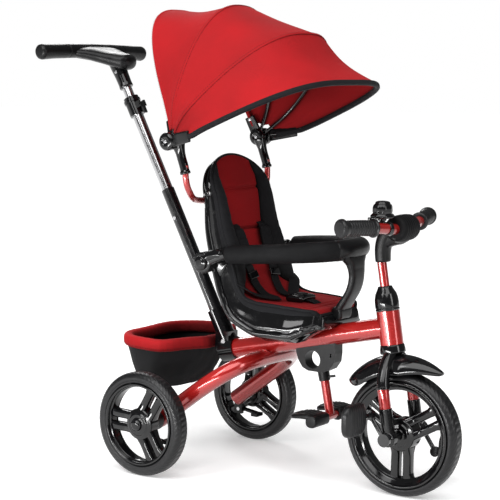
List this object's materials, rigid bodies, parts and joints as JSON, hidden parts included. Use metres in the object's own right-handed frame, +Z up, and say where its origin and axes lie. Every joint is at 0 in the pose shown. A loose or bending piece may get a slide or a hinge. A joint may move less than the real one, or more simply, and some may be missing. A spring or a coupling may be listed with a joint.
{
  "type": "push tricycle",
  "caption": "Children's push tricycle with folding canopy, padded harness seat, lifting safety bar, rear basket, footrest and telescopic push handle.",
  "frame": {"origin": "on the ground under the middle of the overall length, on the left-right middle plane", "axes": "+X forward, the way the tricycle travels; +Y to the rider's left; +Z up"},
  "size_m": [0.95, 0.452, 0.965],
  "materials": {
    "red_paint": "gloss enamel",
    "gloss_black": "polished moulding",
    "matt_black": "fine grained moulding",
    "black_paint": "satin powder coat",
    "bright_steel": "polished plating",
    "plain_steel": "zinc plated",
    "black_foam": "closed-cell foam and soft rubber",
    "tyre_black": "moulded tread",
    "red_cloth": "plain woven polyester",
    "black_cloth": "plain woven polyester and webbing"
  },
  "bodies": {
    "frame": {"main_tube": "red_paint", "head_tube": "red_paint", "head_bearings": "plain_steel", "rear_axle_tube": "red_paint", "axle_blocks": "matt_black", "rear_axle_pins": "plain_steel", "push_bar_socket": "gloss_black", "push_bar_lower_tube": "black_paint", "push_bar_middle_tube": "bright_steel", "locking_collar": "gloss_black", "basket_hoop": "plain_steel", "basket_bag": "black_cloth", "basket_rim": "red_cloth", "seat_shell": "gloss_black", "seat_cushion": "red_cloth", "seat_back_pad": "red_cloth", "harness": "black_cloth", "safety_bar_knuckles": "matt_black", "canopy_post": "red_paint", "canopy_arms": "gloss_black", "footrest_bracket": "matt_black", "frame_fasteners": "plain_steel"},
    "steering": {"fork_tubes": "red_paint", "fork_crown": "gloss_black", "fork_leg_covers": "gloss_black", "fender": "gloss_black", "head_cap": "gloss_black", "stem_clamp": "gloss_black", "handlebar": "red_paint", "handlebar_grips": "black_foam", "handlebar_pad": "black_foam", "bell": "gloss_black"},
    "bell_thumb": {"bell_lever": "gloss_black"},
    "front_wheel": {"front_tyre": "tyre_black", "front_rim": "matt_black", "crank": "black_paint"},
    "left_pedal": {"pedal_left": "matt_black"},
    "right_pedal": {"pedal_right": "matt_black"},
    "left_wheel": {"rear_tyre_left": "tyre_black", "rear_rim_left": "matt_black"},
    "right_wheel": {"rear_tyre_right": "tyre_black", "rear_rim_right": "matt_black"},
    "push_handle": {"push_bar_upper_tube": "bright_steel", "handle_body": "gloss_black", "handle_grip": "black_foam"},
    "clamp_lever": {"collar_lever": "gloss_black"},
    "button": {"release_button": "plain_steel"},
    "safety_bar": {"safety_bar_tube": "black_paint", "safety_bar_sleeves": "black_foam", "crotch_post": "matt_black"},
    "footrest": {"footrest_post": "red_paint", "footrest_plates": "matt_black"},
    "left_brake": {"brake_lever_left": "matt_black"},
    "right_brake": {"brake_lever_right": "matt_black"},
    "canopy_middle": {"canopy_middle_hoop": "black_paint", "canopy_rear_panel": "red_cloth"},
    "canopy_front": {"canopy_front_rib": "black_paint", "canopy_top_panel": "red_cloth"},
    "canopy_peak": {"canopy_front_hoop": "black_paint", "canopy_front_panel": "red_cloth"}
  },
  "joints": [
    {"name": "steering_turn", "type": "hinge", "parent": "frame", "child": "steering", "pos_m": [0.3495, 0, 0.125], "axis": [-0.1736, 0, 0.9848], "range_deg": [-30, 30]},
    {"name": "front_wheel_spin", "type": "hinge", "parent": "steering", "child": "front_wheel", "pos_m": [0.3495, 0, 0.125], "axis": [0, 1, 0], "continuous": true},
    {"name": "left_pedal_spin", "type": "hinge", "parent": "front_wheel", "child": "left_pedal", "pos_m": [0.383, 0.134, 0.07889], "axis": [0, 1, 0], "continuous": true},
    {"name": "right_pedal_spin", "type": "hinge", "parent": "front_wheel", "child": "right_pedal", "pos_m": [0.316, -0.134, 0.17111], "axis": [0, 1, 0], "continuous": true},
    {"name": "left_wheel_spin", "type": "hinge", "parent": "frame", "child": "left_wheel", "pos_m": [-0.1515, 0.2, 0.108], "axis": [0, 1, 0], "continuous": true},
    {"name": "right_wheel_spin", "type": "hinge", "parent": "frame", "child": "right_wheel", "pos_m": [-0.1515, -0.2, 0.108], "axis": [0, 1, 0], "continuous": true},
    {"name": "handle_slide", "type": "slide", "parent": "frame", "child": "push_handle", "axis": [-0.4741, 0, 0.8805], "range_m": [-0.02, 0.14]},
    {"name": "clamp_lever_swing", "type": "hinge", "parent": "frame", "child": "clamp_lever", "pos_m": [-0.32311, 0, 0.75613], "axis": [0, -1, 0], "range_deg": [0, 95]},
    {"name": "button_press", "type": "slide", "parent": "frame", "child": "button", "axis": [0, 1, 0], "range_m": [0, 0.0028], "stiffness_N_per_m": 400, "springref_m": -0.002},
    {"name": "safety_bar_lift", "type": "hinge", "parent": "frame", "child": "safety_bar", "pos_m": [-0.0575, 0, 0.443], "axis": [0, -1, 0], "range_deg": [0, 65]},
    {"name": "footrest_swivel", "type": "hinge", "parent": "frame", "child": "footrest", "pos_m": [0.1589, 0, 0.229], "axis": [0.2045, 0, -0.9789], "range_deg": [-25, 25]},
    {"name": "left_brake_press", "type": "hinge", "parent": "frame", "child": "left_brake", "pos_m": [-0.1655, 0.169, 0.074], "axis": [0, 1, 0], "range_deg": [0, 16]},
    {"name": "right_brake_press", "type": "hinge", "parent": "frame", "child": "right_brake", "pos_m": [-0.1655, -0.169, 0.074], "axis": [0, 1, 0], "range_deg": [0, 16]},
    {"name": "bell_thumb_press", "type": "hinge", "parent": "steering", "child": "bell_thumb", "pos_m": [0.31839, -0.051, 0.55222], "axis": [0, 0, 1], "range_deg": [0, 25], "stiffness_Nm_per_rad": 0.02, "springref_deg": -11.46},
    {"name": "canopy_fold", "type": "hinge", "parent": "frame", "child": "canopy_middle", "pos_m": [-0.1155, 0, 0.688], "axis": [0, 1, 0], "range_deg": [-30, 0], "deforming": ["canopy_rear_panel"]},
    {"name": "canopy_front_fold", "type": "hinge", "parent": "canopy_middle", "child": "canopy_front", "pos_m": [-0.1155, 0, 0.688], "axis": [0, 1, 0], "range_deg": [-29, 0], "deforming": ["canopy_top_panel"]},
    {"name": "canopy_peak_fold", "type": "hinge", "parent": "canopy_front", "child": "canopy_peak", "pos_m": [-0.1155, 0, 0.688], "axis": [0, 1, 0], "range_deg": [-16, 0], "deforming": ["canopy_front_panel"]}
  ],
  "couplings": [
    {"joint": "canopy_front_fold", "follows": "canopy_fold", "ratio": 0.96667},
    {"joint": "canopy_peak_fold", "follows": "canopy_fold", "ratio": 0.53333}
  ]
}
